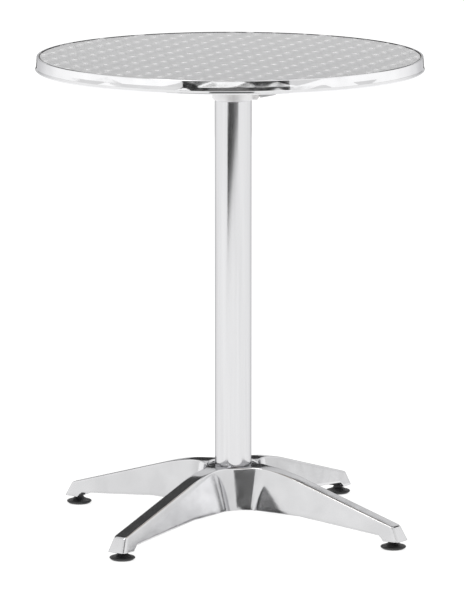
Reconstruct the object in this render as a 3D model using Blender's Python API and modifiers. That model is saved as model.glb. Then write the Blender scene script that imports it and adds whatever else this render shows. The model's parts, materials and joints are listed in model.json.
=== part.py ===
"""Bistro table with a flip top: a round metal-clad top hinged on a column head, a tubular
column and a four-legged cast base on screw-in feet.

Metres, +Z up. The origin is on the floor under the column's axis, and +X points to the
release lever. The top tilts about an axis parallel to Y.
"""

import math

import bmesh
import bpy
from mathutils import Matrix, Vector

# Driving dimensions
TABLE_HEIGHT = 0.740
TOP_RADIUS = 0.300
TOP_CENTRE_X = -0.005  # the top sits a little off the column, to the hinge side
COLUMN_RADIUS = 0.0285
COLUMN_WALL = 0.0015
FOOT_CIRCLE_RADIUS = 0.2975
LEG_ANGLES = (45, 135, 225, 315)
GAP = 0.0003  # between pieces that touch

# Tabletop, from the bead at the rim downwards
BEAD_RADIUS = 0.2956
BAND_INNER_RADIUS = 0.2942
SHEET_TOP_Z = TABLE_HEIGHT - 0.0008
SHEET_THICKNESS = 0.001
SHEET_RADIUS = BAND_INNER_RADIUS - 0.0004
BOARD_THICKNESS = 0.015
BOARD_TOP_Z = SHEET_TOP_Z - SHEET_THICKNESS - GAP
BOARD_UNDERSIDE_Z = BOARD_TOP_Z - BOARD_THICKNESS
BOARD_RADIUS = 0.2950
BAND_HEIGHT = 0.0215
BAND_THICKNESS = 0.0011

# Top bracket and its hinge
PLATE_THICKNESS = 0.005
PLATE_TOP_Z = BOARD_UNDERSIDE_Z - GAP
PLATE_UNDERSIDE_Z = PLATE_TOP_Z - PLATE_THICKNESS
ARM_LENGTH = 0.112
ARM_HALF_WIDTH = 0.012
ARM_FILLET = 0.060
SCREW_DISTANCES = (0.060, 0.100)
PIVOT_X = -0.026
PIVOT_Z = TABLE_HEIGHT - 0.038
EAR_RADIUS = 0.011
EAR_INNER_Y = 0.0201
EAR_THICKNESS = 0.006
BOLT_RADIUS = 0.004
BOLT_FLATS = 0.013  # across the flats of its head and nut
KEEPER_X = (0.0265, 0.0350)
KEEPER_BOTTOM_Z = 0.700

# Column head
COLLAR_BOTTOM_Z = 0.6713
COLLAR_TOP_Z = 0.688
COLLAR_RADIUS = 0.0325
SPIGOT_DEPTH = 0.030
HEAD_TOP_Z = 0.714
HEAD_HALF_WIDTH = 0.0185
HEAD_NOSE_RADIUS = 0.012
SLOT_HALF_WIDTH = 0.007
SLOT_INNER_X = 0.0135
SLOT_FLOOR_Z = 0.6745
HOUSING_END_X = 0.0375
LEVER_PIVOT = (0.027, 0.690)
LEVER_PIN_RADIUS = 0.0025
SPRING_Z = 0.7015
PAD_PLACE = (0.018, 0.0127)  # of each rubber pad that the closed top rests on
PAD_RADIUS = 0.0045
PAD_SEAT_Z = 0.711

# Tie rod from the base to the column head
ROD_RADIUS = 0.0047
ROD_BOTTOM_Z = 0.037
ROD_NUT_FLATS = 0.016
ROD_NUT_HEIGHT = 0.008
ROD_WASHER_RADIUS = 0.010
ROD_WASHER_THICKNESS = 0.002
NUT_POCKET_RADIUS = 0.0115
NUT_POCKET_FLOOR_Z = 0.700

# Base casting
CREST_Z = 0.100
CREST_FLAT_R = 0.045  # the crest is level inside this radius
CREST_BEND_R = 0.125  # and runs straight down outside this one
CREST_SLOPE = 0.295
BELLY_Z = 0.035
BELLY_BEND_R = 0.139
BELLY_SLOPE = 0.096
LEG_START_R = 0.034
HEEL_START_R = 0.284
HEEL_R = 0.288
HEEL_Z = 0.0135
LEG_END_TOP_R = 0.3045
LEG_END_BOTTOM_R = 0.3155
LEG_END_ROUND = 0.005
LEG_HALF_TOP = 0.01175
LEG_DRAFT = math.tan(math.radians(11.5))
LEG_EDGE = 0.003
LEG_WALL = 0.0045
HUB_TOP_DROP = 0.0015
HUB_BOTTOM_Z = 0.0345
HUB_ARM = 0.080
RECESS_RADIUS = 0.040
RECESS_Z = 0.097
SOCKET_Z = 0.070
ROD_POCKET_Z = 0.050
ROD_POCKET_RADIUS = 0.014

# Feet
FOOT_RADIUS = 0.0198
FOOT_NECK_RADIUS = 0.007
STUD_RADIUS = 0.0039
STUD_HOLE_RADIUS = 0.0043
STUD_TOP_Z = 0.0305
STUD_BOTTOM_Z = 0.006

FINISHES = {
    "polished_casting": ((0.78, 0.78, 0.79), 0.14, 1.0),
    "satin_tube": ((0.86, 0.86, 0.87), 0.25, 1.0),
    "polished_band": ((0.85, 0.85, 0.86), 0.08, 1.0),
    "swirled_sheet": ((0.80, 0.80, 0.81), 0.28, 1.0),
    "board": ((0.45, 0.33, 0.22), 0.80, 0.0),
    "raw_casting": ((0.62, 0.62, 0.63), 0.45, 1.0),
    "zinc_steel": ((0.62, 0.63, 0.64), 0.35, 1.0),
    "bright_lever": ((0.60, 0.60, 0.61), 0.18, 1.0),
    "black_plastic": ((0.015, 0.015, 0.016), 0.45, 0.0),
    "black_rubber": ((0.02, 0.02, 0.02), 0.75, 0.0),
    "white_nylon": ((0.80, 0.79, 0.76), 0.50, 0.0),
    "spring_steel": ((0.50, 0.51, 0.52), 0.30, 1.0),
}


def clear_scene():
    for obj in list(bpy.data.objects):
        bpy.data.objects.remove(obj)


def new_collection(name):
    collection = bpy.data.collections.new(name)
    bpy.context.scene.collection.children.link(collection)
    return collection


def new_material(name):
    colour, roughness, metallic = FINISHES[name]
    material = bpy.data.materials.new(name)
    material.use_nodes = True
    shader = material.node_tree.nodes["Principled BSDF"]
    shader.inputs["Base Color"].default_value = (*colour, 1)
    shader.inputs["Roughness"].default_value = roughness
    shader.inputs["Metallic"].default_value = metallic
    return material


clear_scene()
PARTS = new_collection("bistro_table")
CUTTERS = new_collection("cutters")


def add(name, data, finish=None, location=(0, 0, 0), rotation=(0, 0, 0)):
    """Puts data in the scene as a part with its own material, or as a cutter if it has no finish."""
    obj = bpy.data.objects.new(name, data)
    obj.location = location
    obj.rotation_euler = rotation
    if finish:
        PARTS.objects.link(obj)
        data.materials.append(new_material(finish))
    else:
        CUTTERS.objects.link(obj)
        obj.hide_render = True
        obj.display_type = "WIRE"
    return obj


def shade(mesh, degrees=35):
    mesh.shade_smooth()
    mesh.set_sharp_from_angle(angle=math.radians(degrees))


def meshed(obj):
    """Replaces a curve, or a mesh with modifiers, by the plain closed mesh that it makes."""
    bpy.context.view_layer.update()
    seen = obj.evaluated_get(bpy.context.evaluated_depsgraph_get())
    mesh = bpy.data.meshes.new_from_object(seen)
    bm = bmesh.new()
    bm.from_mesh(mesh)
    bmesh.ops.remove_doubles(bm, verts=bm.verts, dist=0.00002)
    bmesh.ops.recalc_face_normals(bm, faces=bm.faces)
    bm.to_mesh(mesh)
    bm.free()
    shade(mesh)
    name, matrix, hidden = obj.name, obj.matrix_world.copy(), obj.hide_render
    home = obj.users_collection[0]
    bpy.data.objects.remove(obj)
    plain = bpy.data.objects.new(name, mesh)
    home.objects.link(plain)
    plain.matrix_world = matrix
    plain.hide_render = hidden
    plain.display_type = "WIRE" if hidden else "TEXTURED"
    return plain


def arc(centre, radius, start, end, steps):
    """Points of an arc from start to end, in degrees."""
    angles = [math.radians(start + (end - start) * i / steps) for i in range(steps + 1)]
    return [
        (centre[0] + radius * math.cos(a), centre[1] + radius * math.sin(a)) for a in angles
    ]


def turned(name, profile, steps, finish=None, location=(0, 0, 0), rotation=(0, 0, 0)):
    """A solid turned about Z. Its (radius, height) profile runs down the outer side; one that
    doesn't start on the axis is closed into a ring."""
    links = [(i, i + 1) for i in range(len(profile) - 1)]
    if profile[0][0] > 0:
        links.append((len(profile) - 1, 0))
    mesh = bpy.data.meshes.new(name)
    mesh.from_pydata([(r, 0, z) for r, z in profile], links, [])
    obj = add(name, mesh, finish, location, rotation)
    screw = obj.modifiers.new("turn", "SCREW")
    screw.steps = screw.render_steps = steps
    screw.use_merge_vertices = True
    screw.merge_threshold = 0.00005
    return meshed(obj)


def rod(name, radius, low, high, steps, finish=None, location=(0, 0, 0), rotation=(0, 0, 0)):
    """A plain round bar from low to high along its own Z."""
    profile = [(0, high), (radius, high), (radius, low), (0, low)]
    return turned(name, profile, steps, finish, location, rotation)


def plate(name, outlines, thickness, finish=None, location=(0, 0, 0), rotation=(0, 0, 0)):
    """A flat piece with the first outline as its edge and any others as holes, centred on its plane."""
    curve = bpy.data.curves.new(name, "CURVE")
    curve.dimensions = "2D"
    curve.fill_mode = "BOTH"
    curve.extrude = thickness / 2
    for outline in outlines:
        spline = curve.splines.new("POLY")
        spline.points.add(len(outline) - 1)
        for point, (x, y) in zip(spline.points, outline):
            point.co = (x, y, 0, 1)
        spline.use_cyclic_u = True
    return meshed(add(name, curve, finish, location, rotation))


def side_plate(name, outlines, thickness, y, finish=None):
    """A plate that stands in the XZ plane, with outlines in world x and z, centred at y."""
    return plate(name, outlines, thickness, finish, (0, y, 0), (math.pi / 2, 0, 0))


def block(name, low, high):
    """A box cutter between two corners."""
    bpy.ops.mesh.primitive_cube_add(size=1)
    obj = bpy.context.object
    obj.name = name
    for home in list(obj.users_collection):
        home.objects.unlink(obj)
    CUTTERS.objects.link(obj)
    obj.hide_render = True
    obj.display_type = "WIRE"
    middle = (Vector(low) + Vector(high)) / 2
    size = Vector(high) - Vector(low)
    obj.data.transform(Matrix.Diagonal((*size, 1)))
    obj.location = middle
    return obj


def loft(name, rings, finish=None):
    """A closed solid through rings of equally many points, with a flat cap at each end."""
    bm = bmesh.new()
    rows = [[bm.verts.new(p) for p in ring] for ring in rings]
    count = len(rings[0])
    for lower, upper in zip(rows, rows[1:]):
        for i in range(count):
            j = (i + 1) % count
            bm.faces.new((lower[i], lower[j], upper[j], upper[i]))
    bm.faces.new(rows[0][::-1])
    bm.faces.new(rows[-1])
    bmesh.ops.recalc_face_normals(bm, faces=bm.faces)
    mesh = bpy.data.meshes.new(name)
    bm.to_mesh(mesh)
    bm.free()
    shade(mesh)
    return add(name, mesh, finish)


def combine(obj, operation, *others):
    """Booleans obj with each of the others, which are kept as cutters."""
    for other in others:
        step = obj.modifiers.new(f"{operation.lower()} {other.name}", "BOOLEAN")
        step.operation = operation
        step.object = other


def cut(obj, *cutters):
    combine(obj, "DIFFERENCE", *cutters)


def join(obj, *others):
    combine(obj, "UNION", *others)


def along_y(name, radius, low, high, x, z, steps, finish=None):
    """A round bar parallel to Y, from y = low to y = high."""
    turn = (math.pi / 2, 0, 0)
    return rod(name, radius, -high, -low, steps, finish, (x, 0, z), turn)


def hexagon(across_flats):
    radius = across_flats / math.sqrt(3)
    return arc((0, 0), radius, 0, 300, 5)


def circle(radius, steps=16):
    return arc((0, 0), radius, 0, 360 * (steps - 1) / steps, steps - 1)


def star(arm, half_width, fillet, round_tips=False):
    """The outline of four arms on the diagonals, joined by concave fillets."""
    points = []
    for angle in LEG_ANGLES:
        if round_tips:
            corner = arc((arm - half_width, 0), half_width, -90, 90, 8)
        else:
            corner = [(arm, -half_width), (arm, half_width)]
        centre = half_width + fillet
        corner += arc((centre, centre), fillet, 270, 180, 8)
        turn = Matrix.Rotation(math.radians(angle), 2)
        points += [tuple(turn @ Vector(p)) for p in corner]
    return points


# ---- Tabletop ----


def edge_band():
    """Thin rolled band: a bead on top, a wall that flares to the full radius, a curled lip."""
    top, low = TABLE_HEIGHT, TABLE_HEIGHT - BAND_HEIGHT
    r, t = TOP_RADIUS, BAND_THICKNESS
    outer = [
        (BAND_INNER_RADIUS, top - 0.0005),
        (BEAD_RADIUS - 0.0006, top - 0.0001),
        (BEAD_RADIUS + 0.0004, top),
        (r - 0.0030, top - 0.0006),
        (r - 0.0024, top - 0.0022),
        (r - 0.0020, top - 0.0060),
        (r - 0.0008, low + 0.0050),
        (r, low + 0.0020),
        (r - 0.0003, low + 0.0007),
        (r - 0.0014, low),
        (r - 0.0030, low + 0.0004),
    ]
    inner = [
        (r - 0.0027, low + 0.0004 + t),
        (r - 0.0016, low + 0.0002 + t),
        (r - t - 0.0001, low + 0.0022),
        (r - t - 0.0009, low + 0.0050),
        (r - t - 0.0021, top - 0.0060),
        (r - t - 0.0025, top - 0.0026),
        (r - t - 0.0033, top - t - 0.0004),
        (BAND_INNER_RADIUS, top - t - 0.0005),
    ]
    return turned("edge_band", outer + inner, 72, "polished_band", (TOP_CENTRE_X, 0, 0))


def screw_places():
    """World x and y of each bracket screw, arm by arm, inner one first."""
    for angle in LEG_ANGLES:
        for distance in SCREW_DISTANCES:
            a = math.radians(angle)
            yield TOP_CENTRE_X + distance * math.cos(a), distance * math.sin(a)


def tabletop():
    centre = (TOP_CENTRE_X, 0, 0)
    low, high = SHEET_TOP_Z - SHEET_THICKNESS, SHEET_TOP_Z
    sheet = rod("top_sheet", SHEET_RADIUS, low, high, 72, "swirled_sheet", centre)
    board = rod("core_board", BOARD_RADIUS, BOARD_UNDERSIDE_Z, BOARD_TOP_Z, 72, "board", centre)
    band = edge_band()
    bracket = plate(
        "top_bracket",
        [star(ARM_LENGTH, ARM_HALF_WIDTH, ARM_FILLET, round_tips=True)],
        PLATE_THICKNESS,
        "raw_casting",
        (TOP_CENTRE_X, 0, PLATE_TOP_Z - PLATE_THICKNESS / 2),
    )
    overlap = PLATE_UNDERSIDE_Z + 0.002
    ear = arc((PIVOT_X, PIVOT_Z), EAR_RADIUS, 180, 360, 14)
    ear += [(PIVOT_X + EAR_RADIUS, overlap), (PIVOT_X - EAR_RADIUS, overlap)]
    ear_y = EAR_INNER_Y + EAR_THICKNESS / 2
    keeper_x, keeper_end = KEEPER_X
    toe = 0.0025
    keeper = [
        (keeper_x, KEEPER_BOTTOM_Z),
        (keeper_end, KEEPER_BOTTOM_Z),
        (keeper_end, overlap),
        (keeper_x + toe, overlap),
        (keeper_x + toe, KEEPER_BOTTOM_Z + 0.004),
        (keeper_x, KEEPER_BOTTOM_Z + 0.004),
    ]
    join(
        bracket,
        side_plate("ear_left", [ear], EAR_THICKNESS, ear_y),
        side_plate("ear_right", [ear], EAR_THICKNESS, -ear_y),
        side_plate("keeper", [keeper], 0.013, 0),
    )
    ear_end = EAR_INNER_Y + EAR_THICKNESS + 0.001
    cut(
        bracket,
        along_y("ear_hole", BOLT_RADIUS + GAP, -ear_end, ear_end, PIVOT_X, PIVOT_Z, 20),
    )
    screws = []
    head_top = PLATE_UNDERSIDE_Z - GAP
    for number, (x, y) in enumerate(screw_places(), 1):
        profile = [
            (0, head_top + 0.0170),
            (0.0012, head_top + 0.0155),
            (0.0021, head_top + 0.0130),
            (0.0021, head_top),
            (0.0042, head_top),
            (0.0040, head_top - 0.0014),
            (0.0028, head_top - 0.0024),
            (0, head_top - 0.0026),
        ]
        name = f"bracket_screw_{number}"
        screws.append(turned(name, profile, 12, "zinc_steel", (x, y, 0)))
        bore, through = 0.0025, PLATE_TOP_Z + 0.001
        hole = rod(f"plate_hole_{number}", bore, PLATE_UNDERSIDE_Z - 0.001, through, 12)
        pilot_top = head_top + 0.0175
        pilot = rod(f"pilot_{number}", bore, BOARD_UNDERSIDE_Z - 0.001, pilot_top, 12)
        hole.location = pilot.location = (x, y, 0)
        cut(bracket, hole)
        cut(board, pilot)
    return [sheet, board, band, bracket, *screws]


# ---- Column head, lever and their fastenings ----


def column_head():
    """Cast head: a spigot in the tube, a collar, two cheeks for the hinge and a slot for the lever."""
    tube_bore = COLUMN_RADIUS - COLUMN_WALL
    spigot = tube_bore - GAP
    low = COLLAR_BOTTOM_Z - SPIGOT_DEPTH
    profile = [
        (0, COLLAR_TOP_Z),
        (COLLAR_RADIUS - 0.002, COLLAR_TOP_Z),
        (COLLAR_RADIUS, COLLAR_TOP_Z - 0.002),
        (COLLAR_RADIUS, COLLAR_BOTTOM_Z + 0.002),
        (COLLAR_RADIUS - 0.002, COLLAR_BOTTOM_Z),
        (spigot, COLLAR_BOTTOM_Z),
        (spigot, low + 0.001),
        (spigot - 0.001, low),
        (0, low),
    ]
    head = turned("column_head", profile, 48, "raw_casting")
    body = arc((PIVOT_X, PIVOT_Z), HEAD_NOSE_RADIUS, 90, 270, 14)
    body += [
        (-0.022, COLLAR_TOP_Z - 0.002),
        (0.033, COLLAR_TOP_Z - 0.002),
        (0.035, 0.690),
        (0.035, 0.698),
        (0.024, HEAD_TOP_Z),
    ]
    housing = [
        (0.020, COLLAR_BOTTOM_Z + 0.0004),
        (HOUSING_END_X - 0.002, COLLAR_BOTTOM_Z + 0.0004),
        (HOUSING_END_X, COLLAR_BOTTOM_Z + 0.0024),
        (HOUSING_END_X, COLLAR_TOP_Z - 0.004),
        (HOUSING_END_X - 0.003, COLLAR_TOP_Z - 0.001),
        (0.020, COLLAR_TOP_Z - 0.001),
    ]
    join(
        head,
        side_plate("head_body", [body], 2 * HEAD_HALF_WIDTH, 0),
        side_plate("lever_housing", [housing], 0.026, 0),
    )
    beyond, above = HEAD_HALF_WIDTH + 0.001, HEAD_TOP_Z + 0.016
    lever_x, lever_z = LEVER_PIVOT
    slot = SLOT_HALF_WIDTH
    pin_hole = LEVER_PIN_RADIUS + GAP
    cut(
        head,
        block("slot_upper", (SLOT_INNER_X, -slot, 0.681), (0.050, slot, above)),
        block("slot_lower", (0.0255, -slot, SLOT_FLOOR_Z), (0.050, slot, 0.700)),
        along_y("head_hole", BOLT_RADIUS + GAP, -beyond, beyond, PIVOT_X, PIVOT_Z, 20),
        along_y("lever_pin_hole", pin_hole, -beyond, beyond, lever_x, lever_z, 12),
        rod("rod_hole", ROD_RADIUS + GAP, low - 0.001, above, 16),
        rod("nut_pocket", NUT_POCKET_RADIUS, NUT_POCKET_FLOOR_Z, above, 24),
    )
    pad_x, pad_y = PAD_PLACE
    low, top = PAD_SEAT_Z + GAP, PLATE_UNDERSIDE_Z - GAP
    for side, y in (("left", pad_y), ("right", -pad_y)):
        seat = rod(f"pad_seat_{side}", PAD_RADIUS + GAP, PAD_SEAT_Z, above, 16)
        seat.location = (pad_x, y, 0)
        cut(head, seat)
        rod(f"rest_pad_{side}", PAD_RADIUS, low, top, 16, "black_rubber", (pad_x, y, 0))


def hinge():
    """The tilt bolt with its nut, and a washer between each cheek and ear."""
    outside = EAR_INNER_Y + EAR_THICKNESS + GAP
    far, near = -outside - 0.008, outside + 0.001
    x, z = PIVOT_X, PIVOT_Z
    bolt = along_y("hinge_bolt", BOLT_RADIUS, far, near, x, z, 20, "zinc_steel")
    head_thickness, nut_thickness = 0.0053, 0.0065
    head = side_plate("bolt_head", [hexagon(BOLT_FLATS)], head_thickness, 0)
    head.location = (x, outside + head_thickness / 2, z)
    join(bolt, head)
    rings = [hexagon(BOLT_FLATS), circle(BOLT_RADIUS + GAP)]
    nut = side_plate("hinge_nut", rings, nut_thickness, 0, "zinc_steel")
    nut.location = (x, -outside - nut_thickness / 2, z)
    inner, outer = BOLT_RADIUS + GAP, 0.009
    middle = (HEAD_HALF_WIDTH + EAR_INNER_Y) / 2
    half = 0.0005
    profile = [(inner, half), (outer, half), (outer, -half), (inner, -half)]
    for side, y in (("left", middle), ("right", -middle)):
        name = f"hinge_washer_{side}"
        turned(name, profile, 24, "white_nylon", (x, y, z), (math.pi / 2, 0, 0))


def release_lever():
    """Bell-crank catch: a hook that stands beside the keeper, and a finger grip outside."""
    outline = [
        (0.0200, 0.7085),
        (0.0200, 0.6970),
        (0.0213, 0.6880),
        (0.0260, 0.6838),
        (0.0325, 0.6764),
        (0.0345, 0.6749),
        (0.0412, 0.6749),
        (0.0417, 0.6735),
        (0.0540, 0.6752),
        (0.0660, 0.6772),
        (0.0668, 0.6786),
        (0.0660, 0.6799),
        (0.0540, 0.6803),
        (0.0417, 0.6800),
        (0.0412, 0.6787),
        (0.0380, 0.6800),
        (0.0325, 0.6868),
        (0.0320, 0.6925),
        (0.0280, 0.6955),
        (0.0240, 0.6985),
        (0.0238, 0.7045),
        (0.0250, 0.7052),
        (0.0250, 0.7075),
        (0.0235, 0.7090),
    ]
    width = 2 * (SLOT_HALF_WIDTH - 0.0005)
    bore = arc(LEVER_PIVOT, LEVER_PIN_RADIUS + GAP, 0, 330, 11)
    lever = side_plate("release_lever", [outline, bore], width, 0, "bright_lever")
    x, z = LEVER_PIVOT
    end = HEAD_HALF_WIDTH - 0.0002
    along_y("lever_pin", LEVER_PIN_RADIUS, -end, end, x, z, 12, "zinc_steel")
    return lever


def latch_spring():
    """A compression spring between the slot's end wall and the hook's back."""
    start, end = SLOT_INNER_X + GAP, 0.0200 - GAP
    wire, coil, turns, per_turn = 0.0005, 0.0032, 4, 12
    curve = bpy.data.curves.new("latch_spring", "CURVE")
    curve.dimensions = "3D"
    curve.bevel_depth = wire
    curve.bevel_resolution = 1
    curve.use_fill_caps = True
    count = turns * per_turn + 1
    spline = curve.splines.new("POLY")
    spline.points.add(count - 1)
    for i, point in enumerate(spline.points):
        a = 2 * math.pi * i / per_turn
        x = start + wire + (end - start - 2 * wire) * i / (count - 1)
        point.co = (x, coil * math.cos(a), SPRING_Z + coil * math.sin(a), 1)
    return meshed(add("latch_spring", curve, "spring_steel"))


# ---- Column and tie rod ----


def column():
    bore = COLUMN_RADIUS - COLUMN_WALL
    low, high = SOCKET_Z + GAP, COLLAR_BOTTOM_Z - GAP
    profile = [(bore, high), (COLUMN_RADIUS, high), (COLUMN_RADIUS, low), (bore, low)]
    turned("column_tube", profile, 48, "satin_tube")
    rod("tie_rod", ROD_RADIUS, ROD_BOTTOM_Z, HEAD_TOP_Z - 0.002, 16, "zinc_steel")
    bore, outer, thickness = ROD_RADIUS + GAP, ROD_WASHER_RADIUS, ROD_WASHER_THICKNESS
    top_washer_z = NUT_POCKET_FLOOR_Z + GAP
    low_washer_z = ROD_POCKET_Z - GAP - thickness
    for name, z in (("top_washer", top_washer_z), ("base_washer", low_washer_z)):
        profile = [(bore, z + thickness), (outer, z + thickness), (outer, z), (bore, z)]
        turned(name, profile, 24, "zinc_steel")
    rings = [hexagon(ROD_NUT_FLATS), circle(bore)]
    top_nut_z = top_washer_z + thickness + GAP + ROD_NUT_HEIGHT / 2
    base_nut_z = low_washer_z - GAP - ROD_NUT_HEIGHT / 2
    for name, z in (("top_nut", top_nut_z), ("base_nut", base_nut_z)):
        plate(name, rings, ROD_NUT_HEIGHT, "zinc_steel", (0, 0, z))


# ---- Base casting ----


def crest(r):
    """Height of a leg's top face at distance r from the column's axis."""
    if r <= CREST_FLAT_R:
        return CREST_Z
    bend = CREST_BEND_R - CREST_FLAT_R
    if r <= CREST_BEND_R:
        return CREST_Z - CREST_SLOPE * (r - CREST_FLAT_R) ** 2 / (2 * bend)
    return CREST_Z - CREST_SLOPE * (bend / 2 + r - CREST_BEND_R)


def belly(r):
    """Height of a leg's lower edge, up to its heel."""
    return BELLY_Z - BELLY_SLOPE * max(0, r - BELLY_BEND_R)


def leg_ring(top_r, bottom_r, bottom_z, inset=0.0):
    """One cross-section of a leg along +X: wide at the bottom, with a bevel along each top edge."""
    top_z = crest(top_r)
    levels = [(bottom_z, 0), (top_z - LEG_EDGE, 0), (top_z, LEG_EDGE)]
    half = []
    for z, bevel in levels:
        share = (top_z - z) / (top_z - bottom_z)
        r = top_r + (bottom_r - top_r) * share
        half.append((r, LEG_HALF_TOP + (top_z - z) * LEG_DRAFT - bevel - inset, z))
    return half + [(r, -y, z) for r, y, z in reversed(half)]


def leg_rings():
    along = [LEG_START_R, 0.045, 0.060, 0.075, 0.092, 0.108, CREST_BEND_R, BELLY_BEND_R, 0.21]
    rings = [leg_ring(r, r, belly(r)) for r in (*along, HEEL_START_R)]
    rings.append(leg_ring(HEEL_R, HEEL_R, HEEL_Z))
    for degrees in (0, 45, 90):
        a = math.radians(degrees)
        back = LEG_END_ROUND * (1 - math.sin(a))
        inset = LEG_END_ROUND * (1 - math.cos(a))
        rings.append(leg_ring(LEG_END_TOP_R - back, LEG_END_BOTTOM_R - back, HEEL_Z, inset))
    return rings


def hollow_rings():
    """The open channel under a leg, one wall in from its sides and top."""
    rings = []
    for r in (0.052, 0.075, 0.100, CREST_BEND_R, 0.280):
        roof, floor = crest(r) - LEG_WALL, -0.010
        top = LEG_HALF_TOP + LEG_WALL * LEG_DRAFT - LEG_WALL
        bottom = top + (roof - floor) * LEG_DRAFT
        rings.append([(r, bottom, floor), (r, top, roof), (r, -top, roof), (r, -bottom, floor)])
    return rings


def base_casting():
    lower = star(HUB_ARM, 0.0235, 0.031)
    upper = star(HUB_ARM, 0.0115, 0.062)
    rings = [[(x, y, HUB_BOTTOM_Z) for x, y in lower], [(x, y, CREST_Z + 0.005) for x, y in upper]]
    base = loft("base_casting", rings, "polished_casting")
    edge = 0.100
    cap = [(0, CREST_Z - HUB_TOP_DROP)]
    cap += [(r, crest(r) - HUB_TOP_DROP) for r in (0.045, 0.055, 0.065, 0.075, 0.090, edge)]
    cap += [(edge, HUB_BOTTOM_Z - 0.010), (0, HUB_BOTTOM_Z - 0.010)]
    combine(base, "INTERSECT", turned("hub_cap", cap, 48))
    for number, angle in enumerate(LEG_ANGLES, 1):
        leg = loft(f"leg_{number}", leg_rings())
        leg.rotation_euler = (0, 0, math.radians(angle))
        join(base, leg)
    for number, angle in enumerate(LEG_ANGLES, 1):
        hollow = loft(f"hollow_{number}", hollow_rings())
        hollow.rotation_euler = (0, 0, math.radians(angle))
        hole = rod(f"stud_hole_{number}", STUD_HOLE_RADIUS, -0.010, STUD_TOP_Z + 0.001, 16)
        hole.location = foot_place(angle)
        cut(base, hollow, hole)
    above, rod_bore = CREST_Z + 0.020, ROD_RADIUS + GAP
    bore = [
        (0, above),
        (RECESS_RADIUS, above),
        (RECESS_RADIUS, RECESS_Z),
        (COLUMN_RADIUS + GAP, RECESS_Z),
        (COLUMN_RADIUS + GAP, SOCKET_Z),
        (rod_bore, SOCKET_Z),
        (rod_bore, ROD_POCKET_Z),
        (ROD_POCKET_RADIUS, ROD_POCKET_Z),
        (ROD_POCKET_RADIUS, 0),
        (0, 0),
    ]
    cut(base, turned("stepped_bore", bore, 48))


# ---- Feet ----


def foot_place(angle):
    a = math.radians(angle)
    return (FOOT_CIRCLE_RADIUS * math.cos(a), FOOT_CIRCLE_RADIUS * math.sin(a), 0)


def feet():
    """Each foot is a plastic pad that doesn't turn, under a stud that screws into the leg."""
    neck_top = HEEL_Z - GAP
    socket = STUD_HOLE_RADIUS
    pad = [
        (socket, neck_top),
        (FOOT_NECK_RADIUS, neck_top),
        (FOOT_NECK_RADIUS + 0.0003, 0.0110),
        (0.0100, 0.0082),
        (0.0150, 0.0060),
        (FOOT_RADIUS - 0.0006, 0.0048),
        (FOOT_RADIUS, 0.0036),
        (FOOT_RADIUS - 0.0010, 0.0018),
        (0.0165, 0.0),
    ]
    for number, angle in enumerate(LEG_ANGLES, 1):
        place = foot_place(angle)
        solid = [(0, neck_top), *pad[1:], (0, 0)]
        foot = turned(f"foot_pad_{number}", solid, 32, "black_plastic", place)
        bore = rod(f"pad_bore_{number}", socket, STUD_BOTTOM_Z - GAP, 0.020, 16)
        bore.location = place
        cut(foot, bore)
        stud = [
            (0, STUD_TOP_Z),
            (STUD_RADIUS - 0.0008, STUD_TOP_Z),
            (STUD_RADIUS, STUD_TOP_Z - 0.0008),
            (STUD_RADIUS, STUD_BOTTOM_Z),
            (0, STUD_BOTTOM_Z),
        ]
        turned(f"foot_stud_{number}", stud, 16, "zinc_steel", place)


def axis_empty(name, place, members):
    """An empty on a joint's axis, which carries the pieces that turn about it."""
    empty = bpy.data.objects.new(name, None)
    empty.empty_display_size = 0.05
    empty.location = place
    PARTS.objects.link(empty)
    bpy.context.view_layer.update()
    for member in members:
        world = member.matrix_world.copy()
        member.parent = empty
        member.matrix_parent_inverse = empty.matrix_world.inverted()
        member.matrix_world = world


base_casting()
column()
column_head()
hinge()
latch_spring()
feet()
axis_empty("tilt_axis", (PIVOT_X, 0, PIVOT_Z), tabletop())
axis_empty("lever_axis", (LEVER_PIVOT[0], 0, LEVER_PIVOT[1]), [release_lever()])
bpy.context.view_layer.update()
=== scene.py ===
"""Looks of the flip-top bistro table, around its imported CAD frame. Metres, +Z up."""

import json
import math

import bmesh
import bpy
from mathutils import Matrix, Vector

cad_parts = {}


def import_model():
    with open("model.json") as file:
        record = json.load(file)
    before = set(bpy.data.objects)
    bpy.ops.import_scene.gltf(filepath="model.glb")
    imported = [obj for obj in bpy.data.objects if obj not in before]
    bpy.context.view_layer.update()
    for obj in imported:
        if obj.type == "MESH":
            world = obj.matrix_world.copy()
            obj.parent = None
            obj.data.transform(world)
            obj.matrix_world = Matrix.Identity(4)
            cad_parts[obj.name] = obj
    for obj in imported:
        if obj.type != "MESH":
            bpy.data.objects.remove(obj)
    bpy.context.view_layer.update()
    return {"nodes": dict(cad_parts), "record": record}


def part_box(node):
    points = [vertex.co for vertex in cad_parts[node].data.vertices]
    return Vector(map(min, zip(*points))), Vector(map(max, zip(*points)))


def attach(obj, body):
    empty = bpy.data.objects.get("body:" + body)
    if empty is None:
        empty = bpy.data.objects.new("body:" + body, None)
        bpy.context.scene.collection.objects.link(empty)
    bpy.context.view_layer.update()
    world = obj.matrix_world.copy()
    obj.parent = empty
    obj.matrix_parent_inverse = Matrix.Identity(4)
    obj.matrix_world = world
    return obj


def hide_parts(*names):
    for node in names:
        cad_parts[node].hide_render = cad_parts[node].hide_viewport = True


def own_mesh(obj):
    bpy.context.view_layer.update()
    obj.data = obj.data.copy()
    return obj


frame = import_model()
NODES = frame["nodes"]

# ---- Places and sizes, from the frame ----

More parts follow.
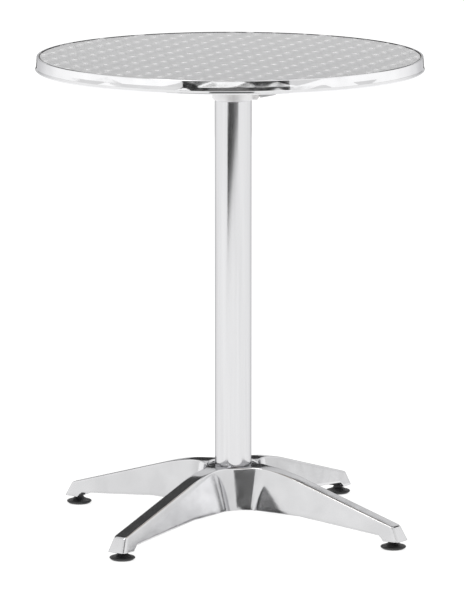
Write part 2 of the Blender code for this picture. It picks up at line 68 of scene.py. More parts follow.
TOP_LOW, TOP_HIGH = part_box("edge_band")
TOP_CENTRE = (TOP_LOW + TOP_HIGH) / 2
TOP_RADIUS = (TOP_HIGH.x - TOP_LOW.x) / 2
TOP_Z = TOP_HIGH.z
RIM_LOW_Z = TOP_LOW.z
SHEET_LOW, SHEET_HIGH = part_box("top_sheet")
SHEET_RADIUS = (SHEET_HIGH.x - SHEET_LOW.x) / 2
TUBE_LOW, TUBE_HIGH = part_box("column_tube")
TUBE_RADIUS = (TUBE_HIGH.x - TUBE_LOW.x) / 2
TUBE_WALL = 0.0015
BASE_LOW, BASE_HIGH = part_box("base_casting")
FOOT_NUMBERS = (1, 2, 3, 4)
LEG_ANGLES = (45, 135, 225, 315)

# Tabletop band and seam
BAND_FOLDS = 68  # fold points round the band
FOLD_ROWS = (0.0, 0.45, 1.0)  # shares of the way down the band's wall
FOLD_START = 0.0019  # how far below the top the facets start
FOLD_DEPTH = 0.0005
BEAD_ROUND = 0.0014
SEAM_WIDTH = 0.0016  # width of the sheet's dipped edge at the seam between the sheet and the band's bead, which is darkened with painted shade
WALL_STEPS = 12

# Fasteners and spring
M8_PITCH = 0.00125
ROD_PITCH = 0.0015
SCREW_PITCH = 0.0014
SPRING_WIRE = 0.00045  # the wire's radius
SPRING_TURNS = 4

# Camera, fitted to the object's outline
CAMERA_DISTANCE = 8.213
CAMERA_HEIGHT = 1.788
CAMERA_AZIMUTH = 10.551  # degrees towards -X from straight in front
CAMERA_PITCH = 9.882
CAMERA_YAW = 0.013
CAMERA_LENS = 322.28  # mm
CAMERA_SENSOR = 36  # mm, along the picture's long side

# Base casting, as the CAD frame has it
CREST_Z = BASE_HIGH.z
CREST_FLAT_R = 0.045
CREST_BEND_R = 0.125
CREST_SLOPE = 0.295
BELLY_Z = 0.035
BELLY_BEND_R = 0.139
BELLY_SLOPE = 0.096
HEEL_START_R = 0.283
HEEL_R = 0.289
HEEL_Z = BASE_LOW.z
TIP_TOP_R = 0.3045
TIP_BOTTOM_R = 0.3155
TIP_ROUND = 0.0055
LEG_HALF_TOP = 0.01175
LEG_DRAFT = math.tan(math.radians(11.5))
WEB_TOP_FILLET = 0.062
WEB_BOTTOM_FILLET = 0.040
WEB_DROP = 0.0012
EDGE_ROUND = 0.0022
RECESS_RADIUS = 0.040
RECESS_Z = 0.097
SOCKET_RADIUS = TUBE_RADIUS + 0.0003
SOCKET_Z = 0.070
HUB_BOTTOM_Z = 0.0345
POCKET_Z = 0.050
POCKET_RADIUS = 0.014
ROD_HOLE_RADIUS = 0.005
CHANNEL_END_R = 0.280
CHANNEL_WALL = 0.0045
RECESS_LIP = 0.0006
HUB_EDGE_R = 0.070  # the lower edge drops to the hub's underside inside this
HUB_EDGE_RUN = 0.020
LEG_ROOT_R = 0.060  # a leg's width is taken here for the web's fillet
LEG_START_X = 0.074  # the leg's part of the outline ends here and the web's part begins
WEB_DROP_ANGLES = (0.25, 0.40)  # radians: where the web starts to dip beside a leg, and its run
WEB_DROP_R, WEB_DROP_RUN = 0.085, 0.03  # the dip fades out along the legs
LOWER_ROUND = 0.0008
TIP_STEPS, SIDE_STEPS, WEB_STEPS = 6, 60, 18


# ---- Mesh helpers ----


def shade(obj, angle=30):
    obj.data.shade_smooth()
    obj.data.set_sharp_from_angle(angle=math.radians(angle))


def mesh_object(name, vertices, faces, angle=30):
    """A smooth-shaded mesh object with sharp edges above the angle, in degrees."""
    mesh = bpy.data.meshes.new(name)
    mesh.from_pydata([tuple(v) for v in vertices], [], faces)
    bm = bmesh.new()
    bm.from_mesh(mesh)
    bmesh.ops.remove_doubles(bm, verts=bm.verts, dist=1e-6)
    bmesh.ops.recalc_face_normals(bm, faces=bm.faces)
    bm.to_mesh(mesh)
    bm.free()
    obj = bpy.data.objects.new(name, mesh)
    bpy.context.scene.collection.objects.link(obj)
    shade(obj, angle)
    return obj


def applied(obj, angle=30):
    """Turns an object's modifiers or curve data into its own mesh."""
    bpy.context.view_layer.update()
    seen = obj.evaluated_get(bpy.context.evaluated_depsgraph_get())
    mesh = bpy.data.meshes.new_from_object(seen)
    name, matrix = obj.name, obj.matrix_world.copy()
    bpy.data.objects.remove(obj)
    plain = bpy.data.objects.new(name, mesh)
    bpy.context.scene.collection.objects.link(plain)
    plain.matrix_world = matrix
    shade(plain, angle)
    return plain


def arc(centre, radius, start, end, steps):
    angles = [math.radians(start + (end - start) * i / steps) for i in range(steps + 1)]
    return [
        (centre[0] + radius * math.cos(a), centre[1] + radius * math.sin(a)) for a in angles
    ]


def rounded(points, radius, steps=4, closed=True):
    """Replaces each corner of a flat outline by a curve of about that radius."""
    out, count = [], len(points)
    for i, corner in enumerate(points):
        here = Vector(corner)
        if not closed and i in (0, count - 1):
            out.append(tuple(here))
            continue
        back, ahead = Vector(points[i - 1]) - here, Vector(points[(i + 1) % count]) - here
        reach = min(radius, 0.45 * back.length, 0.45 * ahead.length)
        a, b = here + back.normalized() * reach, here + ahead.normalized() * reach
        for k in range(steps + 1):
            t = k / steps
            out.append(tuple(a * (1 - t) ** 2 + here * 2 * t * (1 - t) + b * t**2))
    return out


def turned(name, profile, steps, closed=False, shift=None, angle=30):
    """A profile of (radius, height) turned about Z. shift(radius, angle, height) may move points."""
    vertices, rows = [], []
    for r, z in profile:
        row = []
        for i in range(steps):
            a = 2 * math.pi * i / steps
            rr, zz = shift(r, a, z) if shift else (r, z)
            row.append(len(vertices))
            vertices.append((rr * math.cos(a), rr * math.sin(a), zz))
            if r <= 1e-9:
                row = row[:1] * steps
                break
        rows.append(row)
    faces = []
    pairs = list(zip(rows, rows[1:]))
    if closed:
        pairs.append((rows[-1], rows[0]))
    for upper, lower in pairs:
        for i in range(steps):
            j = (i + 1) % steps
            ring = [upper[i], lower[i], lower[j], upper[j]]
            face = list(dict.fromkeys(ring))
            if len(face) > 2:
                faces.append(face)
    return mesh_object(name, vertices, faces, angle)


def boolean(obj, other, operation):
    step = obj.modifiers.new("shape", "BOOLEAN")
    step.operation = operation
    step.object = other
    done = applied(obj)
    bpy.data.objects.remove(other)
    return done


def prism(name, outline, low, high):
    """A straight closed solid over an outline in x and y."""
    count = len(outline)
    vertices = [(x, y, z) for z in (low, high) for x, y in outline]
    faces = [[i, (i + 1) % count, count + (i + 1) % count, count + i] for i in range(count)]
    faces += [list(range(count))[::-1], list(range(count, 2 * count))]
    return mesh_object(name, vertices, faces)


def eased(name, node, width, angle=35):
    """A copy of a CAD node with its flat faces whole and its edges rounded off."""
    mesh = NODES[node].data.copy()
    mesh.name = name
    mesh.materials.clear()
    bm = bmesh.new()
    bm.from_mesh(mesh)
    bmesh.ops.remove_doubles(bm, verts=bm.verts, dist=0.00001)
    limit = math.radians(1)
    bmesh.ops.dissolve_limit(bm, angle_limit=limit, verts=bm.verts, edges=bm.edges)
    bm.to_mesh(mesh)
    bm.free()
    obj = bpy.data.objects.new(name, mesh)
    bpy.context.scene.collection.objects.link(obj)
    bevel = obj.modifiers.new("round", "BEVEL")
    bevel.width = width
    bevel.segments = 3
    bevel.limit_method = "ANGLE"
    bevel.angle_limit = math.radians(angle)
    bevel.harden_normals = True
    return applied(obj, 40)


def thread(pitch, depth, low, high):
    """Moves the points of a turned piece that lie between two heights into a helical thread."""

    def shift(r, a, z):
        if r < depth * 2 or not low <= z <= high:
            return r, z
        turn = (z / pitch - a / (2 * math.pi)) % 1
        fade = min(1, (z - low) / pitch, (high - z) / pitch)
        return r - depth * fade * (1 - abs(2 * turn - 1)), z

    return shift


def levels(low, high, step):
    count = max(1, round((high - low) / step))
    return [low + (high - low) * k / count for k in range(count + 1)]


def threaded(name, radius, low, high, pitch, threads, steps=32):
    """A round bar from low to high, with a thread over each (low, high) stretch in threads."""
    chamfer = pitch * 0.6
    heights = {low, high, low + chamfer, high - chamfer}
    for start, end in threads:
        heights.update(levels(start, end, pitch / 6))
    profile = [(0, low)]
    for z in sorted(heights):
        room = min(z - low, high - z, chamfer)
        profile.append((radius - chamfer + room, z))
    profile.append((0, high))
    start, end = threads[0][0], threads[-1][1]
    gaps = [(a[1], b[0]) for a, b in zip(threads, threads[1:])]
    cut_thread = thread(pitch, pitch * 0.5, start, end)

    def shift(r, a, z):
        return (r, z) if any(g[0] < z < g[1] for g in gaps) else cut_thread(r, a, z)

    return turned(name, profile, steps, shift=shift, angle=50)


def hexagonal(name, flats, low, high, both=True):
    """A hexagon bar whose corners are turned off at its upper end, or at both ends."""
    radius = flats / math.sqrt(3)
    piece = prism(name, arc((0, 0), radius, 0, 300, 5), low, high)
    drop = (radius - flats / 2) * 0.8
    profile = [(0, high), (flats / 2 * 0.94, high), (radius * 1.02, high - drop)]
    if both:
        profile += [(radius * 1.02, low + drop), (flats / 2 * 0.94, low), (0, low)]
    else:
        profile += [(radius * 1.02, low - 0.001), (0, low - 0.001)]
    return boolean(piece, turned("turning", profile, 48), "INTERSECT")


def nut(name, flats, low, high, bore):
    """A chamfered hexagon nut with a threaded bore."""
    core = threaded("bore", bore, low - 0.003, high + 0.003, M8_PITCH, [(low - 0.002, high + 0.002)])
    return boolean(hexagonal(name, flats, low, high), core, "DIFFERENCE")


def washer(name, bore, radius, low, high):
    edge = min(0.0003, (high - low) / 4)
    outline = [(bore, high), (radius, high), (radius, low), (bore, low)]
    return turned(name, rounded(outline, edge, 3), 64, True)


def moved(obj, x=0.0, y=0.0, z=0.0, along_y=False):
    """Moves a piece's own mesh, first turning its Z axis to Y if it lies along Y."""
    turn = Matrix.Rotation(-math.pi / 2, 4, "X") if along_y else Matrix()
    obj.data.transform(Matrix.Translation((x, y, z)) @ turn)
    return obj


# ---- Material helpers ----


class Surface:
    """A Principled material whose nodes are added by short calls."""

    def __init__(self, name, colour, roughness, metallic, **settings):
        self.material = bpy.data.materials.new(name)
        self.material.use_nodes = True
        self.tree = self.material.node_tree
        self.shader = self.tree.nodes["Principled BSDF"]
        self.shader.inputs["Base Color"].default_value = (*colour, 1)
        self.shader.inputs["Roughness"].default_value = roughness
        self.shader.inputs["Metallic"].default_value = metallic
        for socket, value in settings.items():
            self.shader.inputs[socket.replace("_", " ").title()].default_value = value
        self.place = self.node("ShaderNodeTexCoord").outputs["Object"]
        self.normal = None

    def node(self, kind, **settings):
        made = self.tree.nodes.new(kind)
        for key, value in settings.items():
            setattr(made, key, value)
        return made

    def link(self, source, target):
        self.tree.links.new(source, target)

    def math(self, operation, a, b=0.0, c=0.0):
        made = self.node("ShaderNodeMath", operation=operation)
        for socket, value in zip(made.inputs, (a, b, c)):
            if isinstance(value, (int, float)):
                socket.default_value = value
            else:
                self.link(value, socket)
        return made.outputs[0]

    def scaled(self, scale, turn=0.0, shift=(0, 0, 0)):
        """The place, shifted, turned about Z and stretched by a scale per axis."""
        made = self.node("ShaderNodeMapping")
        made.inputs["Location"].default_value = shift
        made.inputs["Rotation"].default_value = (0, 0, turn)
        made.inputs["Scale"].default_value = scale
        self.link(self.place, made.inputs["Vector"])
        return made.outputs[0]

    def noise(self, scale, detail=3.0, stretch=(1, 1, 1), distortion=0.0):
        made = self.node("ShaderNodeTexNoise")
        made.inputs["Scale"].default_value = scale
        made.inputs["Detail"].default_value = detail
        made.inputs["Distortion"].default_value = distortion
        self.link(self.scaled(stretch), made.inputs["Vector"])
        return made.outputs["Fac"]

    def spread(self, value, low, high, start=0.3, end=0.7):
        made = self.node("ShaderNodeMapRange")
        for name, number in zip(("From Min", "From Max", "To Min", "To Max"), (start, end, low, high)):
            made.inputs[name].default_value = number
        self.link(value, made.inputs["Value"])
        return made.outputs["Result"]

    def radius(self):
        """Distance from the object's own Z axis."""
        split = self.node("ShaderNodeSeparateXYZ")
        self.link(self.place, split.inputs[0])
        x, y = split.outputs["X"], split.outputs["Y"]
        squares = self.math("ADD", self.math("MULTIPLY", x, x), self.math("MULTIPLY", y, y))
        return self.math("SQRT", squares)

    def patchy_shade(self, seam_shade):
        """Painted shade where two parts meet, lightened in places by noise."""
        return self.math("MAXIMUM", seam_shade, self.spread(self.noise(30, 2), 0.0, 0.8, 0.58, 0.62))

    def colour(self, value, dark, light, start=0.3, end=0.7, shadow=None):
        """From dark to light with the value, times the shadow, if there is one."""
        made = self.node("ShaderNodeMix", data_type="RGBA")
        self.link(self.spread(value, 0, 1, start, end), made.inputs["Factor"])
        made.inputs["A"].default_value = (*dark, 1)
        made.inputs["B"].default_value = (*light, 1)
        result = made.outputs["Result"]
        if shadow:
            scale = self.node("ShaderNodeVectorMath", operation="SCALE")
            self.link(result, scale.inputs[0])
            self.link(shadow, scale.inputs["Scale"])
            result = scale.outputs[0]
        self.link(result, self.shader.inputs["Base Color"])

    def roughness(self, value, low, high, start=0.3, end=0.7):
        self.link(self.spread(value, low, high, start, end), self.shader.inputs["Roughness"])

    def bump(self, height, distance, strength=1.0):
        made = self.node("ShaderNodeBump")
        made.inputs["Strength"].default_value = strength
        made.inputs["Distance"].default_value = distance
        self.link(height, made.inputs["Height"])
        if self.normal:
            self.link(self.normal, made.inputs["Normal"])
        self.normal = made.outputs["Normal"]
        self.link(self.normal, self.shader.inputs["Normal"])


GREY_EDGE = (0.55, 0.55, 0.56, 1)


def polished_casting():
    s = Surface("polished_casting", (0.80, 0.80, 0.81), 0.12, 1.0, specular_tint=GREY_EDGE)
    cloud = s.noise(18, 4)
    s.colour(cloud, (0.74, 0.74, 0.75), (0.84, 0.84, 0.85))
    s.roughness(s.noise(60, 5), 0.07, 0.13)
    s.bump(s.noise(22, 2), 0.00022, 0.5)
    s.bump(s.noise(220, 3), 0.00002, 0.4)
    return s.material


def satin_tube():
    s = Surface("satin_tube", (0.70, 0.70, 0.71), 0.13, 1.0, specular_tint=GREY_EDGE)
    streak = s.noise(160, 3, (1, 1, 0.02))
    s.colour(streak, (0.67, 0.67, 0.68), (0.73, 0.73, 0.74))
    s.roughness(s.noise(40, 4, (1, 1, 0.05)), 0.10, 0.15)
    s.bump(s.noise(900, 2, (1, 1, 0.01)), 0.00001, 0.4)
    s.bump(s.noise(14, 2, (1, 1, 0.4)), 0.00012, 0.25)
    return s.material


def polished_band():
    s = Surface("polished_band", (0.88, 0.88, 0.89), 0.05, 1.0, specular_tint=GREY_EDGE)
    # painted shade in the seam at the bead's inner lip, lightened in places by noise
    seam_shade = s.spread(s.radius(), 0.04, 1.0, SHEET_RADIUS + 0.0007, SHEET_RADIUS + 0.0011)
    s.colour(s.noise(30, 3), (0.85, 0.85, 0.86), (0.91, 0.91, 0.92), shadow=s.patchy_shade(seam_shade))
    s.roughness(s.noise(90, 4), 0.04, 0.09)
    s.bump(s.noise(45, 1), 0.00025, 0.4)
    s.bump(s.noise(400, 2), 0.00001, 0.3)
    return s.material


SWIRL_PITCH = 0.0336
SWIRL_TURN = math.radians(33.4)
SWIRL_REACH = 0.72  # a swirl's radius, in pitches
SCRATCH_PITCH = 0.0012


def swirled_sheet():
    """Overlapping rows of round brushed marks. Each mark's scratches run round its centre."""
    s = Surface("swirled_sheet", (0.88, 0.88, 0.89), 0.30, 1.0)
    s.shader.inputs["Anisotropic"].default_value = 0.4
    place = s.scaled((1 / SWIRL_PITCH, 1 / SWIRL_PITCH, 0), SWIRL_TURN)
    split = s.node("ShaderNodeSeparateXYZ")
    s.link(place, split.inputs[0])
    u, v = (s.math("FRACT", split.outputs[k]) for k in ("X", "Y"))
    mark_u, mark_v = u, v
    for step_u, step_v in ((1, 0), (0, 1), (1, 1)):
        du, dv = s.math("SUBTRACT", u, step_u), s.math("SUBTRACT", v, step_v)
        apart = s.math("SQRT", s.math("ADD", s.math("MULTIPLY", du, du), s.math("MULTIPLY", dv, dv)))
        covers = s.math("LESS_THAN", apart, SWIRL_REACH)
        mark_u = s.math("MULTIPLY_ADD", covers, s.math("SUBTRACT", du, mark_u), mark_u)
        mark_v = s.math("MULTIPLY_ADD", covers, s.math("SUBTRACT", dv, mark_v), mark_v)
    squares = s.math("ADD", s.math("MULTIPLY", mark_u, mark_u), s.math("MULTIPLY", mark_v, mark_v))
    radius = s.math("SQRT", squares)
    # the scratches' direction, turned back into the sheet's own axes
    c, d = math.cos(SWIRL_TURN), math.sin(SWIRL_TURN)
    along_u, along_v = s.math("MULTIPLY", mark_v, -1), mark_u
    x = s.math("ADD", s.math("MULTIPLY", along_u, c), s.math("MULTIPLY", along_v, d))
    y = s.math("SUBTRACT", s.math("MULTIPLY", along_v, c), s.math("MULTIPLY", along_u, d))
    tangent = s.node("ShaderNodeCombineXYZ")
    s.link(x, tangent.inputs["X"])
    s.link(y, tangent.inputs["Y"])
    unit = s.node("ShaderNodeVectorMath", operation="NORMALIZE")
    s.link(tangent.outputs[0], unit.inputs[0])
    s.link(unit.outputs[0], s.shader.inputs["Tangent"])
    grain = s.noise(70, 3)
    # a painted highlight at each mark's centre, which is also made smoother there
    centre = s.spread(radius, 1.0, 0.0, 0.03, 0.21)
    # each mark gets a painted highlight in two opposite sectors, where its round scratches would catch
    # the light, and is a little darker at its edge
    across = s.math("MULTIPLY", mark_u, mark_v)
    sector_highlight = s.math("DIVIDE", across, s.math("ADD", squares, 0.01))
    edge = s.spread(radius, 0.0, 0.25, SWIRL_REACH - 0.10, SWIRL_REACH)
    tone_and_highlights = s.math("MULTIPLY_ADD", grain, 0.30, s.math("MULTIPLY", centre, 0.60))
    tone_and_highlights = s.math("SUBTRACT", s.math("MULTIPLY_ADD", sector_highlight, 0.22, tone_and_highlights), edge)
    # painted shade in the seam round the sheet's dipped edge, lightened in places by noise
    seam_shade = s.spread(s.radius(), 1.0, 0.04, SHEET_RADIUS - SEAM_WIDTH, SHEET_RADIUS - SEAM_WIDTH + 0.0004)
    s.colour(tone_and_highlights, (0.74, 0.74, 0.75), (1.0, 1.0, 1.0), -0.10, 0.85, s.patchy_shade(seam_shade))
    s.roughness(centre, 0.32, 0.20, 0, 1)
    rings = s.math("SINE", s.math("MULTIPLY", radius, 2 * math.pi * SWIRL_PITCH / SCRATCH_PITCH))
    s.bump(rings, 0.000006, 0.6)
    s.bump(radius, 0.00025, 0.5)
    return s.material


def raw_casting():
    s = Surface("raw_casting", (0.78, 0.78, 0.79), 0.36, 1.0)
    s.colour(s.noise(60, 4), (0.72, 0.72, 0.73), (0.84, 0.84, 0.85))
    s.roughness(s.noise(120, 4), 0.28, 0.44)
    s.bump(s.noise(700, 3), 0.00012, 0.6)
    return s.material


def zinc_steel():
    s = Surface("zinc_steel", (0.62, 0.63, 0.64), 0.32, 1.0)
    s.colour(s.noise(120, 3), (0.55, 0.57, 0.60), (0.68, 0.68, 0.66))
    s.roughness(s.noise(300, 3), 0.24, 0.40)
    s.bump(s.noise(900, 2), 0.00003, 0.5)
    return s.material


def bright_lever():
    s = Surface("bright_lever", (0.60, 0.60, 0.61), 0.24, 1.0)
    s.colour(s.noise(80, 3), (0.54, 0.54, 0.55), (0.65, 0.65, 0.66))
    s.roughness(s.noise(200, 3), 0.20, 0.28)
    s.bump(s.noise(150, 2), 0.00008, 0.5)
    return s.material


def black_plastic():
    s = Surface("black_plastic", (0.012, 0.012, 0.013), 0.42, 0.0)
    s.colour(s.noise(90, 3), (0.010, 0.010, 0.011), (0.020, 0.020, 0.021))
    s.roughness(s.noise(260, 4), 0.34, 0.52)
    s.bump(s.noise(1400, 2), 0.00004, 0.5)
    return s.material


def black_rubber():
    s = Surface("black_rubber", (0.02, 0.02, 0.02), 0.75, 0.0)
    s.colour(s.noise(200, 3), (0.014, 0.014, 0.014), (0.032, 0.032, 0.032))
    s.roughness(s.noise(300, 3), 0.65, 0.85)
    s.bump(s.noise(1600, 3), 0.00008, 0.7)
    return s.material


def white_nylon():
    s = Surface("white_nylon", (0.80, 0.79, 0.75), 0.45, 0.0)
    s.colour(s.noise(150, 2), (0.74, 0.73, 0.69), (0.82, 0.81, 0.78))
    s.roughness(s.noise(400, 3), 0.38, 0.52)
    return s.material


def fibreboard():
    s = Surface("fibreboard", (0.42, 0.35, 0.28), 0.80, 0.0)
    s.colour(s.noise(420, 6, distortion=0.6), (0.29, 0.23, 0.18), (0.52, 0.45, 0.37))
    s.roughness(s.noise(200, 3), 0.72, 0.90)
    s.bump(s.noise(900, 5, distortion=0.8), 0.00025, 0.6)
    return s.material


def spring_steel():
    s = Surface("spring_steel", (0.50, 0.51, 0.52), 0.28, 1.0)
    s.colour(s.noise(300, 3), (0.42, 0.43, 0.45), (0.56, 0.57, 0.58))
    s.roughness(s.noise(500, 3), 0.20, 0.36)
    return s.material


MATERIALS = {
    "polished_casting": polished_casting(),
    "satin_tube": satin_tube(),
    "polished_band": polished_band(),
    "swirled_sheet": swirled_sheet(),
    "board": fibreboard(),
    "raw_casting": raw_casting(),
    "zinc_steel": zinc_steel(),
    "bright_lever": bright_lever(),
    "black_plastic": black_plastic(),
    "black_rubber": black_rubber(),
    "white_nylon": white_nylon(),
    "spring_steel": spring_steel(),
}


def put(obj, body, slot, *nodes):
    """Gives a piece its material, from the slot, and its body, and hides the CAD nodes that it stands
    for.
    """
    # normals weighted by area, so that a flat wall reflects as one beside its rounded edges
    flat = obj.modifiers.new("flat_walls", "WEIGHTED_NORMAL")
    flat.keep_sharp = True
    obj.data.materials.clear()
    obj.data.materials.append(MATERIALS[slot])
    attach(obj, body)
    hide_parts(*nodes)
    return obj


# ---- Tabletop ----


def dent(number, row):
    """A fixed value from 0 to 1 for each fold point of a row round the band."""
    return (math.sin(number * 12.9898 + row * 78.233) * 43758.5453) % 1


def fold(turn, drop):
    """How deep the band's flat facets are, from 0 to 1. turn is a share of the way round and
    drop a share of the way down. Three rows of fold points are joined by flat triangles."""
    row = 0 if drop < FOLD_ROWS[1] else 1
    t = (drop - FOLD_ROWS[row]) / (FOLD_ROWS[row + 1] - FOLD_ROWS[row])
    uneven = 0.35 * math.sin(14 * math.pi * turn) + 0.12 * math.sin(34 * math.pi * turn + 1)
    here = (turn * BAND_FOLDS + uneven + 1) % BAND_FOLDS
    first = math.floor(here)
    s, near, far = here - first, first, (first + 1) % BAND_FOLDS
    if first % 2:
        s, near, far = 1 - s, far, near
    a, b = (dent(near, row), dent(far, row)) if row else (0, 0)
    c, d = dent(near, row + 1), dent(far, row + 1)
    if s + t < 1:
        return a + s * (b - a) + t * (c - a)
    return d + (1 - s) * (c - d) + (1 - t) * (b - d)


def band_shift(r, a, z):
    """The band was folded round the board by hand tools, so its wall has shallow flat facets."""
    turn = (a / (2 * math.pi)) % 1
    start = TOP_Z - FOLD_START
    drop = min(1.0, max(0.0, (start - z) / (start - RIM_LOW_Z)))
    return r - FOLD_DEPTH * fold(turn, drop), z


def tabletop():
    top, low, r = TOP_Z, RIM_LOW_Z, TOP_RADIUS
    wall = 0.0011
    lip = SHEET_RADIUS + 0.0003
    high_wall, low_wall = (r - 0.0024, top - 0.0016), (r - 0.0012, low + 0.0050)
    steps = [k / WALL_STEPS for k in range(WALL_STEPS + 1)]
    outer_wall = [
        (high_wall[0] + (low_wall[0] - high_wall[0]) * t, high_wall[1] + (low_wall[1] - high_wall[1]) * t)
        for t in steps
    ]
    shoulder = arc((high_wall[0] - BEAD_ROUND, top - 0.0001 - BEAD_ROUND), BEAD_ROUND, 90, 7, 7)
    outline = [
        (lip, top - 0.0012),
        (lip + 0.0002, top - 0.0004),
        (lip + 0.0008, top - 0.0001),
        *shoulder,
        *outer_wall,
        (r - 0.0001, low + 0.0022),
        (r - 0.0003, low + 0.0004),
        (r - 0.0016, low),
        (r - 0.0030, low + 0.0006),
        (r - 0.0027, low + 0.0014),
        (r - 0.0017, low + 0.0014),
        (r - wall - 0.0002, low + 0.0024),
        (r - wall - 0.0009, low + 0.0050),
        (r - wall - 0.0022, top - 0.0060),
        (r - wall - 0.0025, top - 0.0026),
        (r - wall - 0.0033, top - wall - 0.0005),
        (lip, top - wall - 0.0006),
    ]
    band = turned("rim_band", rounded(outline, 0.0009, 3), 480, True, band_shift, 60)
    band.location = (TOP_CENTRE.x, TOP_CENTRE.y, 0)
    put(band, "tabletop", "polished_band", "edge_band")
    radius, face = SHEET_RADIUS - 0.0002, SHEET_HIGH.z - 0.0001
    flat = radius - SEAM_WIDTH
    outline = [(flat * k / 24, face) for k in range(25)]
    outline += [
        (radius - 0.6 * SEAM_WIDTH, face - 0.0001),
        (radius - 0.2 * SEAM_WIDTH, face - 0.0004),
        (radius, face - 0.0006),
        (radius, SHEET_LOW.z),
        (0, SHEET_LOW.z),
    ]
    sheet = turned("swirled_top", outline, 180)
    sheet.location = (TOP_CENTRE.x, TOP_CENTRE.y, 0)
    put(sheet, "tabletop", "swirled_sheet", "top_sheet")


# ---- Column ----


def column():
    bore, r, low, high = TUBE_RADIUS - TUBE_WALL, TUBE_RADIUS, TUBE_LOW.z, TUBE_HIGH.z
    outline = rounded([(bore, high), (r, high), (r, low), (bore, low)], 0.0004, 3)
    tube = turned("column", outline, 128, True)
    put(tube, "stand", "satin_tube", "column_tube")


# ---- Base casting ----


def crest(r):
    """Height of a leg's top face at distance r from the column's axis."""
    if r <= CREST_FLAT_R:
        return CREST_Z
    bend = CREST_BEND_R - CREST_FLAT_R
    if r <= CREST_BEND_R:
        return CREST_Z - CREST_SLOPE * (r - CREST_FLAT_R) ** 2 / (2 * bend)
    return CREST_Z - CREST_SLOPE * (bend / 2 + r - CREST_BEND_R)


def smoothstep(x):
    x = min(1.0, max(0.0, x))
    return x * x * (3 - 2 * x)


def belly(r):
    """Height of the lower edge, with the step down to the heel over the foot."""
    high = BELLY_Z - BELLY_SLOPE * max(0, r - BELLY_BEND_R)
    if r < HUB_EDGE_R:
        high -= (BELLY_Z - HUB_BOTTOM_Z) * smoothstep((HUB_EDGE_R - r) / HUB_EDGE_RUN)
    return high + (HEEL_Z - high) * smoothstep((r - HEEL_START_R) / (HEEL_R - HEEL_START_R))


def half_width(r, level):
    """Half a leg's width at distance r, at its lower edge (level 0) or its upper edge (level 1)."""
    return LEG_HALF_TOP + (0 if level else (crest(r) - belly(r)) * LEG_DRAFT)


def rim_line(level):
    """Half a leg's outline in plan, from the middle of its tip round to the middle of the web."""
    tip = TIP_TOP_R if level else TIP_BOTTOM_R
    corner = tip - TIP_ROUND
    half_tip = half_width(corner, level)
    points = [(tip, (half_tip - TIP_ROUND) * k / TIP_STEPS) for k in range(TIP_STEPS)]
    points += arc((corner, half_tip - TIP_ROUND), TIP_ROUND, 0, 90, TIP_STEPS)
    fillet = WEB_TOP_FILLET if level else WEB_BOTTOM_FILLET
    root = half_width(LEG_ROOT_R, level) + fillet
    spare = half_width(LEG_ROOT_R, level) - half_width(root, level)
    for k in range(1, SIDE_STEPS):
        share = k / SIDE_STEPS
        r = corner + (root - corner) * share
        points.append((r, half_width(r, level) + spare * smoothstep(share * 3 - 2)))
    return points + arc((root, root), fillet, 270, 225, WEB_STEPS)


def top_height(x, y):
    r, turn = math.hypot(x, y), abs(math.atan2(y, x))
    start, run = WEB_DROP_ANGLES
    beside_leg, near_hub = smoothstep((turn - start) / run), smoothstep((WEB_DROP_R - r) / WEB_DROP_RUN)
    return crest(r) - WEB_DROP * beside_leg * near_hub


def flat_path(start, end, steps, height):
    """Points from start towards end in plan, end included, at the height that a function gives."""
    points = []
    for k in range(1, steps + 1):
        x = start[0] + (end[0] - start[0]) * k / steps
        y = start[1] + (end[1] - start[1]) * k / steps
        points.append((x, y, height(x, y)))
    return points


def bend(start, corner, end, steps):
    """A short curve that rounds a corner off."""
    points = []
    for k in range(steps + 1):
        t = k / steps
        points.append(tuple(start * (1 - t) ** 2 + corner * 2 * t * (1 - t) + end * t**2))
    return points


def hub_angle(i, last_leg, count):
    return math.pi / 4 * (i - last_leg) / (count - 1 - last_leg)


def socket_rows(last_leg, count):
    """The round recess and the stepped bore that the column stands in, row by row."""
    rows = []
    for i in range(last_leg, count):
        a = hub_angle(i, last_leg, count)
        c, d = math.cos(a), math.sin(a)
        rim = RECESS_RADIUS + RECESS_LIP
        edge = top_height(rim * c, rim * d)
        profile = [
            (rim, edge),
            (RECESS_RADIUS + RECESS_LIP * 0.3, edge - RECESS_LIP * 0.3),
            (RECESS_RADIUS, edge - RECESS_LIP),
            (RECESS_RADIUS - 0.0003, RECESS_Z + 0.0007),
            (RECESS_RADIUS - 0.0009, RECESS_Z),
            (SOCKET_RADIUS + 0.0005, RECESS_Z),
            (SOCKET_RADIUS, RECESS_Z - 0.0005),
            (SOCKET_RADIUS, SOCKET_Z),
            (ROD_HOLE_RADIUS, SOCKET_Z),
            (ROD_HOLE_RADIUS, POCKET_Z),
            (POCKET_RADIUS, POCKET_Z),
            (POCKET_RADIUS, HUB_BOTTOM_Z),
        ]
        rows.append([(r * c, r * d, z) for r, z in profile])
    return rows


